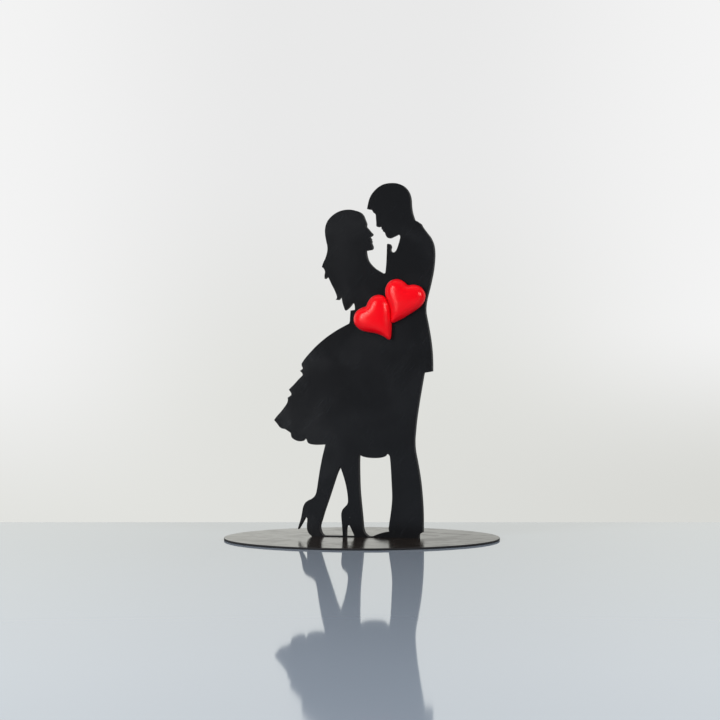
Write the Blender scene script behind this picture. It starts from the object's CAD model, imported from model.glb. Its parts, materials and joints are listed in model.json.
"""Wedding cake topper: a couple cut from black sheet on a thin round base, with two red hearts."""
import json
import math
from typing import NamedTuple

import bmesh
import bpy
from bpy.props import FloatProperty, FloatVectorProperty, PointerProperty
from bpy.types import Operator, Panel, PropertyGroup
from mathutils import Matrix, Vector
from mathutils.bvhtree import BVHTree


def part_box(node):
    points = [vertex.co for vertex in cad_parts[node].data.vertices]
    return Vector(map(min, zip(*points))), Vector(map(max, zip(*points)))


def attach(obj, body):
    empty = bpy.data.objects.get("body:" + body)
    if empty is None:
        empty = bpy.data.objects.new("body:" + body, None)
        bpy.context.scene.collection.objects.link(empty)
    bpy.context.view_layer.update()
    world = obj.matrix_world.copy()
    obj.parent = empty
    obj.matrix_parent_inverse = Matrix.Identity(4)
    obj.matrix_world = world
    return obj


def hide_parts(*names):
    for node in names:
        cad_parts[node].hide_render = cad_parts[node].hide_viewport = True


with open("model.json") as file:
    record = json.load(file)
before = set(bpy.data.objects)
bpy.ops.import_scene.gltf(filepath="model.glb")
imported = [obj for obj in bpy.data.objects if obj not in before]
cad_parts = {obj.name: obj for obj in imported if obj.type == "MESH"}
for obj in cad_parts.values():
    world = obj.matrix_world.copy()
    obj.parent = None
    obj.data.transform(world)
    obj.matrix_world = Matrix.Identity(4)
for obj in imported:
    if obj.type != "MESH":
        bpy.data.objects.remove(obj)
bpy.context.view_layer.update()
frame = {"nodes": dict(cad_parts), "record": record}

bl_info = {
    "name": "Couple Cake Topper",
    "version": (1, 0, 0),
    "blender": (4, 5, 0),
    "location": "3D View > Sidebar > Topper",
    "description": "Finishes a cut-sheet couple topper and sets up a studio for it",
    "category": "Object",
}

BODY = "root"
MM = 0.001
FRONT = Vector((0, -1, 0))
UP = Vector((0, 0, 1))

# Corners of a CAD mesh nearer than this are one corner, and faces that turn less than this are one face
MERGE_GAP = 0.001 * MM
FLAT_TURN = math.radians(0.05)
# A face as square as this to a sheet's axis belongs to one of its two flat sides
FLAT_SIDE = 0.999
# An edge that turns more than this stays a crisp corner
CRISP_TURN = math.radians(38)
# Levels of the live smoothing on the hearts
HEART_LEVELS = 2
# How far the table and the backdrop's foot reach
FLOOR_REACH = 15000 * MM
# How far the camera sees, in metres
SIGHT = 100


def slot_colour(slot):
    """The colour that the record gives a material slot."""
    found = next(m for m in frame["record"]["materials"] if m["slot"] == slot)
    return tuple(found["base_color"][:3])


class SheetSettings(PropertyGroup):
    """The couple's cut sheet and the round base"""
    rounding: FloatProperty(
        name="Edge rounding", description="Radius of the rounding along every cut edge",
        default=0.12 * MM, unit="LENGTH")
    shortest: FloatProperty(
        name="Shortest step", description="Steps of the outline shorter than this are merged",
        default=0.14 * MM, unit="LENGTH")
    figure_colour: FloatVectorProperty(
        name="Figure colour", description="Satin black of the couple's sheet",
        default=slot_colour("sheet_satin"), subtype="COLOR", min=0, max=1)
    base_colour: FloatVectorProperty(
        name="Base colour", description="Near-black warm brown of the round base",
        default=slot_colour("base_gloss"), subtype="COLOR", min=0, max=1)
    cut_colour: FloatVectorProperty(
        name="Cut edge colour", description="Black of the freshly cut edges",
        default=(0.016, 0.016, 0.017), subtype="COLOR", min=0, max=1)
    figure_roughness: FloatProperty(
        name="Figure roughness", description="Satin finish of the couple's flat sides",
        default=0.13, subtype="FACTOR", min=0, max=1)
    base_roughness: FloatProperty(
        name="Base roughness", description="Gloss of the base's flat sides",
        default=0.085, subtype="FACTOR", min=0, max=1)


class HeartSettings(PropertyGroup):
    """The two padded hearts and the foam pads behind them"""
    left_lean: FloatProperty(
        name="Left lean", description="How far the left heart leans, anticlockwise from the front",
        default=math.radians(42.4), subtype="ANGLE")
    right_lean: FloatProperty(
        name="Right lean", description="How far the right heart leans, anticlockwise from the front",
        default=math.radians(-18.2), subtype="ANGLE")
    reach: FloatProperty(
        name="Puff reach", description="How far in from the rim the padding keeps rising",
        default=6 * MM, unit="LENGTH")
    fullness: FloatProperty(
        name="Fullness", description="How the padding rises: 0.5 is round like an egg, 1 is a low hump",
        default=0.62, min=0.3, max=1.5)
    lip: FloatProperty(
        name="Lip height", description="Height of the widest ring above the heart's flat back",
        default=0.952 * MM, unit="LENGTH")
    gap: FloatProperty(
        name="Pressed gap", description="Gap left where the right heart presses against the left one",
        default=0.25 * MM, unit="LENGTH")
    colour: FloatVectorProperty(
        name="Heart colour", description="Glossy red of the hearts",
        default=slot_colour("heart_gloss"), subtype="COLOR", min=0, max=1)
    roughness: FloatProperty(
        name="Heart roughness", description="Gloss of the hearts' skin",
        default=0.2, subtype="FACTOR", min=0, max=1)
    foam_colour: FloatVectorProperty(
        name="Foam colour", description="Off-white of the foam pads",
        default=slot_colour("pad_foam"), subtype="COLOR", min=0, max=1)


class CementSettings(PropertyGroup):
    """The beads of cement behind the shoes"""
    taper: FloatProperty(
        name="Taper", description="Share of a bead's length over which each end thins out",
        default=0.3, subtype="FACTOR", min=0.05, max=0.5)
    ripple: FloatProperty(
        name="Ripple", description="How much a bead swells and shrinks along its length",
        default=0.09, subtype="FACTOR", min=0, max=0.5)
    colour: FloatVectorProperty(
        name="Cement colour", description="Colour of the set cement",
        default=slot_colour("cement"), subtype="COLOR", min=0, max=1)


class StageSettings(PropertyGroup):
    """The camera, table, backdrop and lamps"""
    azimuth: FloatProperty(
        name="Azimuth", description="How far round to the right the camera stands",
        default=math.radians(13), subtype="ANGLE")
    distance: FloatProperty(
        name="Distance", description="From the camera to the middle of the base, measured level",
        default=1240 * MM, unit="LENGTH")
    height: FloatProperty(
        name="Height", description="Camera height above the table",
        default=97.45 * MM, unit="LENGTH")
    aside: FloatProperty(
        name="Aside", description="How far the camera stands to the right of its aim",
        default=-1.04 * MM, unit="LENGTH")
    lens: FloatProperty(
        name="Lens", description="Focal length in millimetres",
        default=113.8, min=1)
    table_depth: FloatProperty(
        name="Table depth", description="From the middle of the base to the table's far edge",
        default=129 * MM, unit="LENGTH")
    table_colour: FloatVectorProperty(
        name="Table colour", description="Cool pale grey of the glossy table",
        default=(0.33, 0.385, 0.46), subtype="COLOR", min=0, max=1)
    backdrop_low: FloatVectorProperty(
        name="Backdrop low", description="Backdrop colour just above the table",
        default=(0.750, 0.755, 0.725), subtype="COLOR", min=0, max=1)
    backdrop_high: FloatVectorProperty(
        name="Backdrop high", description="Backdrop colour above the figure",
        default=(0.815, 0.815, 0.815), subtype="COLOR", min=0, max=1)
    backdrop_sides: FloatVectorProperty(
        name="Backdrop sides", description="Backdrop colour to the left and right of the figure",
        default=(0.90, 0.90, 0.90), subtype="COLOR", min=0, max=1)
    mirrored_tint: FloatVectorProperty(
        name="Mirrored tint", description="Warm tint of the backdrop where glossy surfaces mirror it",
        default=(0.955, 0.962, 0.91), subtype="COLOR", min=0, max=1)
    room_colour: FloatVectorProperty(
        name="Room colour", description="Dim room behind the camera, which the front surfaces mirror",
        default=(0.06, 0.06, 0.063), subtype="COLOR", min=0, max=1)


class SoftBox(NamedTuple):
    """A lamp that faces the figure, with its sizes in metres and its angles in degrees

    Its bearing is counted to the right of the camera's.
    """
    name: str
    bearing: float
    elevation: float
    distance: float
    width: float
    height: float
    brightness: float


# A brightness of 1 is as bright as white paper in full light
SOFT_BOXES = (
    SoftBox("left soft box", bearing=-46, elevation=12, distance=1.1,
            width=0.5, height=0.9, brightness=3.7),
    SoftBox("left bright middle", bearing=-46, elevation=20, distance=1.05,
            width=0.26, height=0.6, brightness=7.0),
    SoftBox("right soft box", bearing=39, elevation=21, distance=1.2,
            width=0.6, height=0.56, brightness=4.0),
    SoftBox("right bright middle", bearing=39, elevation=21, distance=1.15,
            width=0.3, height=0.3, brightness=8.0),
    SoftBox("top soft box", bearing=0, elevation=78, distance=1.3,
            width=1.2, height=1.2, brightness=0.3),
)


def plug(tree, socket, value):
    """Gives an input socket a value, or links it to the output that feeds it."""
    if isinstance(value, bpy.types.NodeSocket):
        tree.links.new(value, socket)
    else:
        socket.default_value = value


def add_node(tree, kind, sockets=None, **settings):
    """A shader node with its settings made and its inputs plugged."""
    node = tree.nodes.new(kind)
    for name, value in settings.items():
        setattr(node, name, value)
    for name, value in (sockets or {}).items():
        plug(tree, node.inputs[name], value)
    return node


def calculate(tree, operation, *values):
    """The result of a Math node."""
    return add_node(tree, "ShaderNodeMath", dict(enumerate(values)), operation=operation).outputs[0]


def add_up(tree, start, *parts):
    """A starting value plus each mask times its amount."""
    total = start
    for mask, amount in parts:
        total = calculate(tree, "MULTIPLY_ADD", mask, amount, total)
    return total


def ease(tree, value, low, high, new_low=0.0, new_high=1.0):
    """A value eased from one range into another."""
    sockets = {"Value": value, "From Min": low, "From Max": high, "To Min": new_low, "To Max": new_high}
    return add_node(tree, "ShaderNodeMapRange", sockets, interpolation_type="SMOOTHSTEP").outputs[0]


def stretch(tree, vector, factors):
    """A vector multiplied by a factor along each axis."""
    sockets = {0: vector, 1: factors}
    return add_node(tree, "ShaderNodeVectorMath", sockets, operation="MULTIPLY").outputs[0]


def along(tree, vector, direction):
    """How far a vector reaches along a direction."""
    sockets = {0: vector, 1: direction}
    return add_node(tree, "ShaderNodeVectorMath", sockets, operation="DOT_PRODUCT").outputs["Value"]


def noise(tree, vector, per_metre, detail=2.0, **sockets):
    """Noise with so many waves to the metre."""
    values = {"Vector": vector, "Scale": per_metre, "Detail": detail, **sockets}
    return add_node(tree, "ShaderNodeTexNoise", values).outputs["Fac"]


def tint(tree, colour, *layers):
    """A colour with others laid over it, each through its own mask."""
    for mask, layer in layers:
        node = add_node(tree, "ShaderNodeMix", data_type="RGBA")
        factor, under, over = (next(s for s in node.inputs if s.identifier == name)
                               for name in ("Factor_Float", "A_Color", "B_Color"))
        plug(tree, factor, mask)
        plug(tree, under, colour)
        plug(tree, over, layer)
        colour = next(s for s in node.outputs if s.identifier == "Result_Color")
    return colour


def opaque(colour, brightness=1.0):
    """A colour with its alpha, made brighter or darker by a factor."""
    return (*(channel * brightness for channel in colour), 1)


def start_effect(name, inputs, output, kind="NodeSocketFloat"):
    """An empty node group: its tree, its inputs and its output socket.

    An input without a default value is a vector.
    """
    group = bpy.data.node_groups.new(name, "ShaderNodeTree")
    for label, default in inputs.items():
        socket_kind = "NodeSocketVector" if default is None else "NodeSocketFloat"
        socket = group.interface.new_socket(name=label, in_out="INPUT", socket_type=socket_kind)
        if default is not None:
            socket.default_value = default
    group.interface.new_socket(name=output, in_out="OUTPUT", socket_type=kind)
    taken = group.nodes.new("NodeGroupInput").outputs
    given = group.nodes.new("NodeGroupOutput").inputs[output]
    return group, taken, given


def scratches_effect():
    """Fine straight hairlines that run one way and gather in patches."""
    group, taken, given = start_effect("hairline scratches", {
        "Vector": None, "Axis": None, "Angle": 0.6, "Per Metre": 5000.0, "Level": 0.66}, "Mask")
    turned = add_node(group, "ShaderNodeVectorRotate", {
        "Vector": taken["Vector"], "Axis": taken["Axis"], "Angle": taken["Angle"]},
        rotation_type="AXIS_ANGLE")
    # Squeezed along one axis, the grains of the noise become long lines
    squeeze = (0.02, 1, 1)
    lines = noise(group, stretch(group, turned.outputs[0], squeeze), taken["Per Metre"], detail=1.0)
    patches = noise(group, taken["Vector"], per_metre=60.0)
    soft_edge = 0.08
    drawn = ease(group, lines, taken["Level"], calculate(group, "ADD", taken["Level"], soft_edge))
    gathered = ease(group, patches, low=0.45, high=0.65)
    plug(group, given, calculate(group, "MULTIPLY", drawn, gathered))
    return group


def haze_effect():
    """Faint cloudy smears from handling and wiping, with a fine grain inside them."""
    group, taken, given = start_effect("handling haze", {
        "Vector": None, "Smears Per Metre": 30.0, "Grain Per Metre": 3000.0}, "Mask")
    smears = noise(group, taken["Vector"], taken["Smears Per Metre"], detail=3.0, Distortion=0.8)
    grain = noise(group, taken["Vector"], taken["Grain Per Metre"], detail=1.0)
    clouds = ease(group, smears, low=0.4, high=0.68)
    speckle = ease(group, grain, low=0.3, high=0.7, new_low=0.75)
    plug(group, given, calculate(group, "MULTIPLY", clouds, speckle))
    return group


def dust_effect():
    """Separate specks of dust, a few to the square centimetre."""
    group, taken, given = start_effect("dust specks", {
        "Vector": None, "Cells Per Metre": 300.0, "Share": 0.1, "Speck Size": 0.03}, "Mask")
    cells = add_node(group, "ShaderNodeTexVoronoi", {
        "Vector": taken["Vector"], "Scale": taken["Cells Per Metre"]})
    lot = add_node(group, "ShaderNodeSeparateColor", {"Color": cells.outputs["Color"]}).outputs[0]
    chosen = calculate(group, "LESS_THAN", lot, taken["Share"])
    speck = calculate(group, "LESS_THAN", cells.outputs["Distance"], taken["Speck Size"])
    plug(group, given, calculate(group, "MULTIPLY", chosen, speck))
    return group


def kerf_effect():
    """The fine lines that a laser leaves straight through a cut edge, deeper here and there."""
    group, taken, given = start_effect("kerf lines", {
        "Vector": None, "Lines Per Metre": 3600.0, "Depth Share": 0.8}, "Height")
    fine = noise(group, taken["Vector"], taken["Lines Per Metre"])
    wider = 0.15
    wide = noise(group, taken["Vector"], calculate(group, "MULTIPLY", taken["Lines Per Metre"], wider))
    deep = ease(group, wide, low=0.52, high=0.66)
    plug(group, given, calculate(group, "MULTIPLY_ADD", deep, taken["Depth Share"], fine))
    return group


def backdrop_effect():
    """A pale backdrop that brightens upwards and to the sides.

    Rise and Side are how far a direction reaches up and to the right, against its length.
    """
    stage = bpy.context.scene.topper_stage
    group, taken, given = start_effect("backdrop shades", {"Rise": 0.0, "Side": 0.0}, "Color",
                                       "NodeSocketColor")
    rise, side = taken["Rise"], taken["Side"]
    above = ease(group, rise, low=-0.03, high=0.1)
    spread = ease(group, calculate(group, "ABSOLUTE", side), low=0.03, high=0.17)
    glow = calculate(group, "MULTIPLY", spread, ease(group, rise, low=-0.09, high=0.02))
    rightwards = ease(group, side, low=-0.12, high=0.16)
    downwards = ease(group, rise, low=0.02, high=-0.07)
    shaded = calculate(group, "MULTIPLY", rightwards, downwards)
    dimmed = 0.92
    plug(group, given, tint(
        group, opaque(stage.backdrop_low), (above, opaque(stage.backdrop_high)),
        (glow, opaque(stage.backdrop_sides)), (shaded, opaque(stage.backdrop_low, dimmed))))
    return group


EFFECTS = {
    "hairline scratches": scratches_effect,
    "handling haze": haze_effect,
    "dust specks": dust_effect,
    "kerf lines": kerf_effect,
    "backdrop shades": backdrop_effect,
}


def effect(tree, name, **sockets):
    """An effect's node group placed in a material with its own values, built at its first use."""
    group = bpy.data.node_groups.get(name) or EFFECTS[name]()
    node = add_node(tree, "ShaderNodeGroup", node_tree=group)
    for label, value in sockets.items():
        plug(tree, node.inputs[label.replace("_", " ")], value)
    return node.outputs[0]


def start_material(name, **uniform):
    """A new material, its tree, its shader with the uniform values set, and its coordinates."""
    material = bpy.data.materials.new(name)
    material.use_nodes = True
    tree = material.node_tree
    shader = tree.nodes["Principled BSDF"]
    for label, value in uniform.items():
        shader.inputs[label.replace("_", " ")].default_value = value
    return material, tree, shader, add_node(tree, "ShaderNodeTexCoord").outputs["Object"]


def relief(tree, shader, height, distance):
    """Raises the surface by a height between 0 and 1 times a distance."""
    node = add_node(tree, "ShaderNodeBump", {"Height": height, "Distance": distance})
    plug(tree, shader.inputs["Normal"], node.outputs[0])


def satin_face_material():
    """The flat sides of the couple: satin black with faint smears, hairlines and a little dust."""
    settings = bpy.context.scene.topper_sheet
    material, tree, shader, place = start_material("satin black sheet")
    haze = effect(tree, "handling haze", Vector=place, Smears_Per_Metre=34.0)
    lines = effect(tree, "hairline scratches", Vector=place, Axis=(0, 1, 0), Angle=0.9)
    dust = effect(tree, "dust specks", Vector=place, Share=0.05)
    satin = noise(tree, place, per_metre=5200.0)
    mottle = noise(tree, place, per_metre=14.0)
    black = settings.figure_colour
    grey_dust = (0.16, 0.16, 0.16)
    plug(tree, shader.inputs["Base Color"], tint(
        tree, opaque(black, 0.6), (mottle, opaque(black, 0.85)), (haze, opaque(black)),
        (lines, opaque(black, 1.8)), (dust, opaque(grey_dust))))
    plug(tree, shader.inputs["Roughness"], add_up(
        tree, settings.figure_roughness, (haze, 0.03), (lines, -0.08), (dust, 0.3)))
    height = add_up(tree, 0.0, (satin, 0.8), (lines, -0.5))
    relief(tree, shader, height, distance=0.006 * MM)
    return material


def gloss_face_material():
    """The flat sides of the base: glossy near-black with wiping smears, hairlines and dust."""
    settings = bpy.context.scene.topper_sheet
    material, tree, shader, place = start_material("gloss black disc", Specular_IOR_Level=0.1)
    shader.distribution = "GGX"
    haze = effect(tree, "handling haze", Vector=place, Smears_Per_Metre=70.0)
    lines = effect(tree, "hairline scratches", Vector=place, Axis=(0, 0, 1), Angle=0.5)
    dust = effect(tree, "dust specks", Vector=place, Share=0.12)
    black = settings.base_colour
    warm_dust = (0.22, 0.21, 0.20)
    plug(tree, shader.inputs["Base Color"], tint(
        tree, opaque(black, 2.0), (haze, opaque(black, 2.6)), (lines, opaque(black, 4.0)),
        (dust, opaque(warm_dust))))
    # The right side is duller from handling
    to_the_right = (1, 0, 0)
    handled = ease(tree, along(tree, place, to_the_right), low=-90 * MM, high=90 * MM)
    plug(tree, shader.inputs["Roughness"], add_up(
        tree, settings.base_roughness, (handled, 0.1), (haze, 0.08), (lines, 0.1), (dust, 0.4)))
    height = add_up(tree, 0.0, (noise(tree, place, per_metre=90.0), 1.0), (lines, -0.2))
    relief(tree, shader, height, distance=0.01 * MM)
    return material


def cut_edge_material(name, axis, black):
    """A laser-cut edge: fine lines straight through the sheet and a dull, dark surface."""
    material, tree, shader, place = start_material(name, Specular_IOR_Level=0.15)
    across = tuple(0.0 if part else 1.0 for part in axis)
    kerf = effect(tree, "kerf lines", Vector=stretch(tree, place, across))
    haze = effect(tree, "handling haze", Vector=place, Smears_Per_Metre=60.0)
    plug(tree, shader.inputs["Base Color"], tint(
        tree, opaque(black, 0.8), (kerf, opaque(black, 1.3)), (haze, opaque(black, 1.5))))
    dull = 0.6
    plug(tree, shader.inputs["Roughness"], add_up(tree, dull, (haze, 0.1), (kerf, 0.06)))
    relief(tree, shader, kerf, distance=0.012 * MM)
    return material


def red_heart_material():
    """Glossy red moulded plastic with the faint unevenness and wear of a small moulded charm."""
    settings = bpy.context.scene.topper_hearts
    warm_shine = (1, 0.4, 0.36, 1)
    material, tree, shader, place = start_material("red moulded plastic", Specular_Tint=warm_shine)
    haze = effect(tree, "handling haze", Vector=place, Smears_Per_Metre=90.0)
    lines = effect(tree, "hairline scratches", Vector=place, Axis=(0, 1, 0), Angle=-0.7, Level=0.7)
    dust = effect(tree, "dust specks", Vector=place, Cells_Per_Metre=420.0, Share=0.03)
    red = settings.colour
    smeared_red = (red[0], 0.007, 0.013)
    scratched_red = (0.9, 0.07, 0.08)
    pink_dust = (0.8, 0.5, 0.48)
    skin = noise(tree, place, per_metre=420.0)
    orange_peel = noise(tree, place, per_metre=1500.0)
    plug(tree, shader.inputs["Base Color"], tint(
        tree, opaque(red, 1.03), (skin, opaque(red, 1.11)), (haze, opaque(smeared_red)),
        (lines, opaque(scratched_red)), (dust, opaque(pink_dust))))
    plug(tree, shader.inputs["Roughness"], add_up(
        tree, settings.roughness, (haze, 0.05), (lines, 0.1), (dust, 0.3)))
    height = add_up(tree, 0.0, (skin, 1.0), (orange_peel, 0.25))
    relief(tree, shader, height, distance=0.02 * MM)
    return material


def foam_material():
    """Off-white mounting foam with open cells."""
    settings = bpy.context.scene.topper_hearts
    material, tree, shader, place = start_material("mounting foam")
    cells_per_metre = 2600.0
    cells = add_node(tree, "ShaderNodeTexVoronoi", {"Vector": place, "Scale": cells_per_metre})
    wall = ease(tree, cells.outputs["Distance"], low=0.1, high=0.6)
    patches = noise(tree, place, per_metre=300.0)
    white = settings.foam_colour
    plug(tree, shader.inputs["Base Color"], tint(
        tree, opaque(white, 0.7), (wall, opaque(white)), (patches, opaque(white, 0.93))))
    dry = 0.8
    plug(tree, shader.inputs["Roughness"], add_up(tree, dry, (patches, 0.15)))
    relief(tree, shader, wall, distance=0.08 * MM)
    return material


def cement_material():
    """Clear cement set over black sheet: dark, wet-looking and slightly rippled."""
    settings = bpy.context.scene.topper_cement
    material, tree, shader, place = start_material("set cement")
    ripples = noise(tree, place, per_metre=700.0)
    haze = effect(tree, "handling haze", Vector=place, Smears_Per_Metre=240.0)
    dark = settings.colour
    plug(tree, shader.inputs["Base Color"], tint(
        tree, opaque(dark, 0.8), (ripples, opaque(dark, 1.5)), (haze, opaque(dark, 2.2))))
    wet = 0.08
    plug(tree, shader.inputs["Roughness"], add_up(tree, wet, (haze, 0.16)))
    relief(tree, shader, ripples, distance=0.09 * MM)
    return material


def new_piece(name, shape, materials, slot, *nodes):
    """A mesh object from a bmesh, riding on the topper and standing for its CAD nodes."""
    mesh = bpy.data.meshes.new(name)
    shape.to_mesh(mesh)
    shape.free()
    for material in materials:
        mesh.materials.append(material)
    piece = bpy.data.objects.new(name, mesh)
    bpy.context.scene.collection.objects.link(piece)
    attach(piece, BODY)
    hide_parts(*nodes)
    return piece


def smooth_over(shape, faces, crisp=CRISP_TURN):
    """Shades faces as one smooth surface, apart from its crisp corners."""
    for face in faces:
        face.smooth = True
    for edge in shape.edges:
        edge.smooth = len(edge.link_faces) == 2 and edge.calc_face_angle(0) < crisp


def merged_copy(node):
    """A CAD node's mesh with its loose triangles joined at their corners."""
    shape = bmesh.new()
    shape.from_mesh(frame["nodes"][node].data)
    bmesh.ops.remove_doubles(shape, verts=shape.verts, dist=MERGE_GAP)
    return shape


def refilled(shape, flat, side):
    """New faces for a flat side, laid between its outlines only, so that none reaches across a gap."""
    old = set(flat)
    rims = [edge for edge in shape.edges
            if len([face for face in edge.link_faces if face in old]) == 1]
    bmesh.ops.delete(shape, geom=flat, context="FACES")
    made = bmesh.ops.triangle_fill(shape, edges=rims, use_beauty=True, normal=side)["geom"]
    return [part for part in made if isinstance(part, bmesh.types.BMFace)]


def rounded_sheet(node, axis):
    """A flat cut part from its CAD node, with a small rounding round the rims of its two flat sides."""
    settings = bpy.context.scene.topper_sheet
    shape = merged_copy(node)
    bmesh.ops.dissolve_limit(shape, angle_limit=FLAT_TURN, verts=shape.verts, edges=shape.edges)
    bmesh.ops.remove_doubles(shape, verts=shape.verts, dist=settings.shortest)
    shape.normal_update()
    quarter = math.sin(math.pi / 4) * settings.rounding
    rest = settings.rounding - quarter
    flat_sides = []
    for side in (axis, -axis):
        flat = [face for face in shape.faces if face.normal.dot(side) > FLAT_SIDE]
        corners = list({vert for face in flat for vert in face.verts})
        bmesh.ops.translate(shape, vec=-side * settings.rounding, verts=corners)
        for inwards, outwards in ((rest, quarter), (quarter, rest)):
            bmesh.ops.inset_region(
                shape, faces=flat, thickness=inwards, depth=outwards, use_boundary=True)
        flat_sides += refilled(shape, flat, side)
    bmesh.ops.recalc_face_normals(shape, faces=shape.faces)
    edges = set(shape.faces) - set(flat_sides)
    smooth_over(shape, edges)
    for face in edges:
        face.material_index = 1
    return shape


def add_rings(shape, edges, steps):
    """Rings drawn in from an outline about the Y axis: each has its share of the size and its height."""
    rings = []
    last_share = 1
    for share, height in steps:
        made = bmesh.ops.extrude_edge_only(shape, edges=edges)["geom"]
        ring = [part for part in made if isinstance(part, bmesh.types.BMVert)]
        edges = [part for part in made if isinstance(part, bmesh.types.BMEdge) and part.is_boundary]
        # The factor 0 lays the ring on the plane y = 0, and its height is counted from there
        bmesh.ops.scale(shape, vec=(share / last_share, 0, share / last_share), verts=ring)
        bmesh.ops.translate(shape, vec=FRONT * height, verts=ring)
        last_share = share
        rings.append(ring)
    bmesh.ops.remove_doubles(shape, verts=rings[-1], dist=MERGE_GAP)
    return [vert for ring in rings for vert in ring if vert.is_valid]


def middle(node):
    """The middle of a CAD node's box."""
    low, high = (Vector(corner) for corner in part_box(node))
    return (low + high) / 2


def upright_outline(settings):
    """The widest ring of the left CAD heart, stood upright about the middle of its pad."""
    shape = merged_copy("heart_left")
    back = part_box("heart_left")[1][1]
    widest = back - settings.lip
    near = 0.01 * MM
    others = [vert for vert in shape.verts if abs(vert.co.y - widest) > near]
    bmesh.ops.delete(shape, geom=others, context="VERTS")
    crown = middle("heart_pad_left")
    bmesh.ops.translate(shape, vec=(-crown.x, -widest, -crown.z), verts=shape.verts)
    bmesh.ops.rotate(shape, matrix=Matrix.Rotation(settings.left_lean, 3, "Y"), verts=shape.verts)
    return shape


def depth_inside(spot, outline):
    """How deep a point lies inside an outline of straight steps, seen from the front.

    Near a step it is the plain distance from it. Further in, every step counts, so that no ridge is left.
    """
    flat = Vector((spot.x, 0, spot.z))
    pull = 0
    for start, end in outline:
        ahead = (end - start).normalized()
        first = (start - flat).dot(ahead)
        last = (end - flat).dot(ahead)
        away = max((start - flat - ahead * first).length, MERGE_GAP)
        pull += (last / math.hypot(last, away) - first / math.hypot(first, away)) / away ** 2
    return math.sqrt(2 / pull)


def padded_heart(settings, thickness):
    """A padded heart, upright, its flat back on the plane y = 0 and its padding rising to the front."""
    shape = upright_outline(settings)
    rim = list(shape.edges)
    outline = [tuple(vert.co.copy() for vert in edge.verts) for edge in rim]
    rings = 16
    turns = [(step + 1) / rings * math.pi / 2 for step in range(rings)]
    dome = add_rings(shape, rim, [(max(math.cos(turn), 0), 0) for turn in turns])
    rise = thickness - settings.lip
    for vert in dome:
        inwards = 1 - min(depth_inside(vert.co, outline) / settings.reach, 1)
        vert.co.y = -rise * max(1 - inwards ** 2, 0) ** settings.fullness
    bmesh.ops.translate(shape, vec=FRONT * settings.lip, verts=shape.verts)
    # Shares of the outline and heights above the flat back, which curls up towards the rim
    curl = 0.05 * thickness
    add_rings(shape, rim, [(0.975, curl), (0.93, 0), (0.6, 0), (0.3, 0), (0, 0)])
    bmesh.ops.recalc_face_normals(shape, faces=shape.faces)
    return shape


def place_heart(shape, lean, crown, back):
    """Leans an upright heart about its crown and sets its back on a plane."""
    bmesh.ops.rotate(shape, matrix=Matrix.Rotation(-lean, 3, "Y"), verts=shape.verts)
    bmesh.ops.translate(shape, vec=(crown.x, back, crown.z), verts=shape.verts)


def press_against(shape, other, push, gap):
    """Moves what would lie inside another piece out along a direction, to a gap from its surface."""
    tree = BVHTree.FromObject(other, bpy.context.evaluated_depsgraph_get())
    reach = 100 * MM
    for vert in shape.verts:
        hit, _normal, _index, _distance = tree.ray_cast(vert.co + push * reach, -push)
        if hit and (vert.co - hit).dot(push) < gap:
            vert.co = hit + push * gap


def add_subdivision(piece, levels):
    """Smooths a piece with a live Subdivision Surface, the same in the view and in the render."""
    smoother = piece.modifiers.new("smooth form", "SUBSURF")
    smoother.levels = levels
    smoother.render_levels = levels


class TOPPER_OT_figure(Operator):
    """Finish the couple's cut sheet with rounded rims, satin faces and laser-cut edges"""
    bl_idname = "topper.figure"
    bl_label = "Couple"

    def execute(self, context):
        settings = context.scene.topper_sheet
        edge = cut_edge_material("cut edge of the sheet", FRONT, settings.cut_colour)
        shape = rounded_sheet("couple_panel", FRONT)
        new_piece("couple_sheet", shape, [satin_face_material(), edge], "sheet_satin", "couple_panel")
        return {"FINISHED"}


class TOPPER_OT_base(Operator):
    """Finish the round base with rounded rims, glossy faces and a laser-cut edge"""
    bl_idname = "topper.base"
    bl_label = "Base"

    def execute(self, context):
        settings = context.scene.topper_sheet
        edge = cut_edge_material("cut edge of the disc", UP, settings.cut_colour)
        shape = rounded_sheet("base_disc", UP)
        new_piece("round_base", shape, [gloss_face_material(), edge], "base_gloss", "base_disc")
        return {"FINISHED"}


class TOPPER_OT_hearts(Operator):
    """Make the two padded hearts, the right one pressed against the left one"""
    bl_idname = "topper.hearts"
    bl_label = "Hearts"

    def execute(self, context):
        settings = context.scene.topper_hearts
        material = red_heart_material()
        low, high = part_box("heart_left")
        hearts = []
        for side, lean in (("left", settings.left_lean), ("right", settings.right_lean)):
            shape = padded_heart(settings, high[1] - low[1])
            place_heart(shape, lean, middle(f"heart_pad_{side}"), high[1])
            if hearts:
                push = (middle("heart_pad_right") - middle("heart_pad_left")).normalized()
                press_against(shape, hearts[0], push, settings.gap)
            smooth_over(shape, shape.faces, crisp=math.pi)
            hearts.append(new_piece(f"{side}_heart", shape, [material], "heart_gloss", f"heart_{side}"))
            add_subdivision(hearts[-1], HEART_LEVELS)
        return {"FINISHED"}


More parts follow.
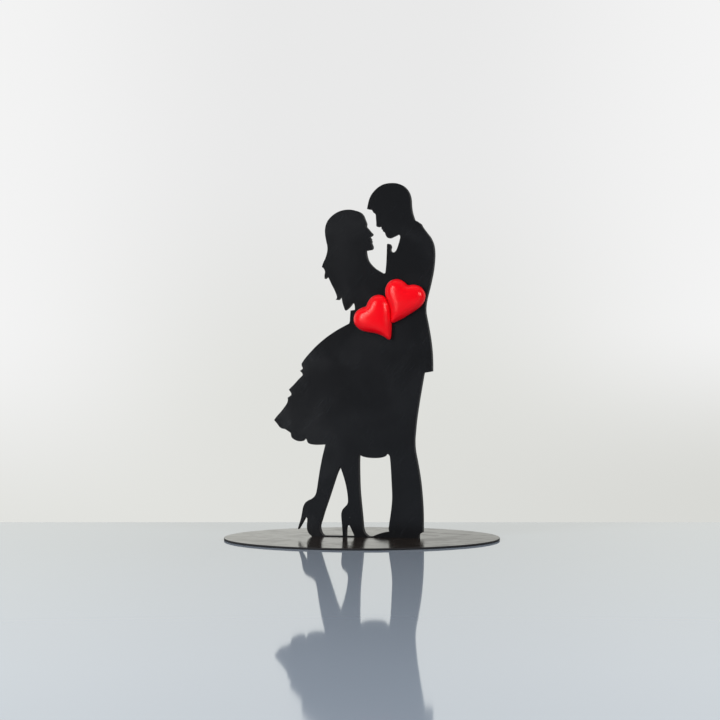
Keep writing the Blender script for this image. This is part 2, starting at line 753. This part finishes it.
class TOPPER_OT_pads(Operator):
    """Make the foam pads that hold the hearts on the sheet"""
    bl_idname = "topper.pads"
    bl_label = "Foam pads"

    def execute(self, context):
        material = foam_material()
        outline_steps = 48
        # Shares of the outline and of the half thickness: a bulging wall, then the flat face
        rings = [(0.997, 0.6), (0.985, 1), (0.96, 1), (0.5, 1), (0, 1)]
        for side in ("left", "right"):
            node = f"heart_pad_{side}"
            low, high = (Vector(corner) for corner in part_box(node))
            radius = (high.x - low.x) / 2
            half = (high.y - low.y) / 2
            shape = bmesh.new()
            bmesh.ops.create_circle(shape, segments=outline_steps, radius=radius,
                                    matrix=Matrix.Rotation(math.pi / 2, 4, "X"))
            waist = list(shape.edges)
            for face in (half, -half):
                add_rings(shape, waist, [(share, face * height) for share, height in rings])
            bmesh.ops.recalc_face_normals(shape, faces=shape.faces)
            bmesh.ops.translate(shape, vec=middle(node), verts=shape.verts)
            smooth_over(shape, shape.faces)
            pad = new_piece(f"{side}_foam_pad", shape, [material], "pad_foam", node)
        return {"FINISHED"}


class TOPPER_OT_cement(Operator):
    """Make the beads of cement along the corner between the sheet's back and the base"""
    bl_idname = "topper.cement"
    bl_label = "Cement"

    def execute(self, context):
        settings = context.scene.topper_cement
        material = cement_material()
        nodes = sorted(name for name in frame["nodes"] if name.startswith("cement_bead_"))
        for order, node in enumerate(nodes):
            low, high = (Vector(corner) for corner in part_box(node))
            shape = bmesh.new()
            self.sweep(shape, high - low, order, settings)
            bmesh.ops.translate(shape, vec=low, verts=shape.verts)
            smooth_over(shape, shape.faces)
            name = node.replace("cement_bead_", "set_cement_")
            new_piece(name, shape, [material], "cement", node)
        return {"FINISHED"}

    def sweep(self, shape, size, order, settings):
        """Draws a hollow-faced section along the X axis, thinning out towards both ends."""
        curve_steps = 8
        length_steps = 24
        # The face curves from its foot to its top, drawn in towards this share of the section's size
        hollow = 0.33
        corner = shape.verts.new((0, 0, 0))
        face_line = []
        for step in range(curve_steps + 1):
            share = step / curve_steps
            out = (1 - share) ** 2 + 2 * share * (1 - share) * hollow
            up = share ** 2 + 2 * share * (1 - share) * hollow
            face_line.append(shape.verts.new((0, out * size.y, up * size.z)))
        outline = [corner, *face_line]
        edges = [shape.edges.new(pair) for pair in zip(outline, outline[1:] + outline[:1])]
        ring = outline
        swell = 1
        for step in range(length_steps + 1):
            share = step / length_steps
            new_swell = self.swelling(share, order, settings)
            if step:
                made = bmesh.ops.extrude_edge_only(shape, edges=edges)["geom"]
                ring = [part for part in made if isinstance(part, bmesh.types.BMVert)]
                edges = [part for part in made if isinstance(part, bmesh.types.BMEdge) and part.is_boundary]
                bmesh.ops.translate(shape, vec=(size.x / length_steps, 0, 0), verts=ring)
            factor = new_swell / swell
            bmesh.ops.scale(shape, vec=(1, factor, factor), verts=ring)
            swell = new_swell
        bmesh.ops.holes_fill(shape, edges=shape.edges, sides=0)
        bmesh.ops.recalc_face_normals(shape, faces=shape.faces)

    def swelling(self, share, order, settings):
        """How thick a bead is at a share of its length, against its full thickness."""
        from_end = min(share, 1 - share) / settings.taper
        thinning = math.sqrt(1 - (1 - min(from_end, 1)) ** 2)
        waves_along = 2.2
        waves_between_beads = 0.37
        waves = math.sin(2 * math.pi * (waves_along * share + waves_between_beads * order))
        thinnest = 0.25
        return (thinnest + (1 - thinnest) * thinning) * (1 - settings.ripple * (1 + waves) / 2)


def sheet_of_floor(name, material, nearer, further, azimuth):
    """A level rectangle, wide to both sides, between two distances along the camera's view."""
    below = 0.1 * MM
    shape = bmesh.new()
    reach = (further - nearer) / 2
    place = (Matrix.Rotation(azimuth, 4, "Z") @ Matrix.Translation((0, nearer + reach, -below))
             @ Matrix.Diagonal((FLOOR_REACH, reach, 1, 1)))
    bmesh.ops.create_grid(shape, x_segments=1, y_segments=1, size=1, matrix=place)
    mesh = bpy.data.meshes.new(name)
    shape.to_mesh(mesh)
    shape.free()
    mesh.materials.append(material)
    sheet = bpy.data.objects.new(name, mesh)
    bpy.context.scene.collection.objects.link(sheet)


def table_material(stage):
    """Cool pale grey table top, a clear mirror at a low angle and duller from higher up."""
    material, tree, shader, place = start_material("glossy table")
    pale = stage.table_colour
    haze = noise(tree, place, per_metre=3.0)
    plug(tree, shader.inputs["Base Color"], tint(tree, opaque(pale, 0.985), (haze, opaque(pale, 1.015))))
    grazing = add_node(tree, "ShaderNodeLayerWeight").outputs["Facing"]
    dulled = ease(tree, grazing, low=0.87, high=0.68, new_low=0.03, new_high=0.42)
    plug(tree, shader.inputs["Roughness"], add_up(tree, dulled, (haze, 0.015)))
    return material


def backdrop_material(stage, forward, right):
    """The backdrop's own foot, lit evenly: it shows the shade of the direction that it lies in."""
    material = bpy.data.materials.new("backdrop foot")
    material.use_nodes = True
    tree = material.node_tree
    tree.nodes.clear()
    place = add_node(tree, "ShaderNodeTexCoord").outputs["Object"]
    away = calculate(tree, "ADD", along(tree, place, forward), stage.distance)
    rise = calculate(tree, "DIVIDE", -stage.height, away)
    side = calculate(tree, "DIVIDE", along(tree, place, right), away)
    shade = effect(tree, "backdrop shades", Rise=rise, Side=side)
    seen = add_node(tree, "ShaderNodeEmission", {"Color": shade})
    lit = add_node(tree, "ShaderNodeBsdfDiffuse", {"Color": shade})
    rays = add_node(tree, "ShaderNodeLightPath").outputs
    mirrored = calculate(tree, "MAXIMUM", rays["Is Glossy Ray"], rays["Is Transmission Ray"])
    plain = calculate(tree, "MAXIMUM", rays["Is Camera Ray"], mirrored)
    mixed = add_node(tree, "ShaderNodeMixShader", {0: plain, 1: lit.outputs[0], 2: seen.outputs[0]})
    add_node(tree, "ShaderNodeOutputMaterial", {"Surface": mixed.outputs[0]})
    return material


def light_world(stage, forward, right):
    """A pale backdrop all round for the camera; for the object, a dim room stands in front of it."""
    world = bpy.data.worlds.new("studio")
    world.use_nodes = True
    tree = world.node_tree
    tree.nodes.clear()
    direction = add_node(tree, "ShaderNodeTexCoord").outputs["Generated"]
    rise = along(tree, direction, UP)
    side = along(tree, direction, right)
    shade = effect(tree, "backdrop shades", Rise=rise, Side=side)
    facing = ease(tree, along(tree, direction, forward), low=-0.35, high=0.25)
    rays = add_node(tree, "ShaderNodeLightPath").outputs
    bright = calculate(tree, "MAXIMUM", facing, rays["Is Camera Ray"])
    warm = stretch(tree, shade, stage.mirrored_tint)
    backdrop = tint(tree, shade, (rays["Is Glossy Ray"], warm))
    colour = tint(tree, opaque(stage.room_colour), (bright, backdrop))
    background = add_node(tree, "ShaderNodeBackground", {"Color": colour})
    add_node(tree, "ShaderNodeOutputWorld", {"Surface": background.outputs[0]})
    bpy.context.scene.world = world


def add_lamp(box, stage):
    """A soft box aimed at the middle of the figure, which the camera itself doesn't see."""
    turn = math.radians(box.bearing) + stage.azimuth
    rise = math.radians(box.elevation)
    outwards = Vector((
        math.sin(turn) * math.cos(rise), -math.cos(turn) * math.cos(rise), math.sin(rise)))
    lamp = bpy.data.lights.new(box.name, "AREA")
    lamp.shape = "RECTANGLE"
    lamp.size = box.width
    lamp.size_y = box.height
    lamp.energy = math.pi * box.width * box.height * box.brightness
    holder = bpy.data.objects.new(box.name, lamp)
    holder.location = UP * stage.height + outwards * box.distance
    holder.rotation_euler = outwards.to_track_quat("Z", "Y").to_euler()
    holder.visible_camera = False
    bpy.context.scene.collection.objects.link(holder)


class TOPPER_OT_stage(Operator):
    """Set up the table, the backdrop, the lamps and the camera"""
    bl_idname = "topper.stage"
    bl_label = "Stage"

    def execute(self, context):
        stage = context.scene.topper_stage
        forward = Vector((-math.sin(stage.azimuth), math.cos(stage.azimuth), 0))
        right = Vector((math.cos(stage.azimuth), math.sin(stage.azimuth), 0))
        table = table_material(stage)
        sheet_of_floor("table", table, -FLOOR_REACH, stage.table_depth, stage.azimuth)
        foot = backdrop_material(stage, forward, right)
        sheet_of_floor("backdrop_foot", foot, stage.table_depth, FLOOR_REACH, stage.azimuth)
        light_world(stage, forward, right)
        for box in SOFT_BOXES:
            add_lamp(box, stage)
        self.add_camera(context.scene, stage, forward, right)
        context.scene.view_settings.view_transform = "Standard"
        return {"FINISHED"}

    def add_camera(self, scene, stage, forward, right):
        """A level camera to the right of the figure's front."""
        eye = bpy.data.cameras.new("camera")
        eye.lens = stage.lens
        eye.clip_end = SIGHT
        camera = bpy.data.objects.new("camera", eye)
        camera.location = right * stage.aside - forward * stage.distance + UP * stage.height
        camera.rotation_euler = (math.pi / 2, 0, stage.azimuth)
        scene.collection.objects.link(camera)
        scene.camera = camera


OPERATORS = (TOPPER_OT_figure, TOPPER_OT_base, TOPPER_OT_hearts, TOPPER_OT_pads, TOPPER_OT_cement,
             TOPPER_OT_stage)
SETTINGS = {
    "topper_sheet": SheetSettings,
    "topper_hearts": HeartSettings,
    "topper_cement": CementSettings,
    "topper_stage": StageSettings,
}


class TOPPER_PT_panel(Panel):
    """The topper's pieces and their sizes and colours"""
    bl_idname = "TOPPER_PT_panel"
    bl_label = "Cake topper"
    bl_space_type = "VIEW_3D"
    bl_region_type = "UI"
    bl_category = "Topper"

    def draw(self, context):
        for operator in OPERATORS:
            self.layout.operator(operator.bl_idname)
        for name, settings in SETTINGS.items():
            box = self.layout.box()
            for label in settings.__annotations__:
                box.prop(getattr(context.scene, name), label)


CLASSES = (*SETTINGS.values(), *OPERATORS, TOPPER_PT_panel)


def register():
    for each in CLASSES:
        bpy.utils.register_class(each)
    for name, settings in SETTINGS.items():
        setattr(bpy.types.Scene, name, PointerProperty(type=settings))


def unregister():
    for name in SETTINGS:
        delattr(bpy.types.Scene, name)
    for each in reversed(CLASSES):
        bpy.utils.unregister_class(each)


def main():
    register()
    bpy.ops.topper.figure()
    bpy.ops.topper.base()
    bpy.ops.topper.hearts()
    bpy.ops.topper.pads()
    bpy.ops.topper.cement()
    bpy.ops.topper.stage()


if __name__ == "__main__":
    main()
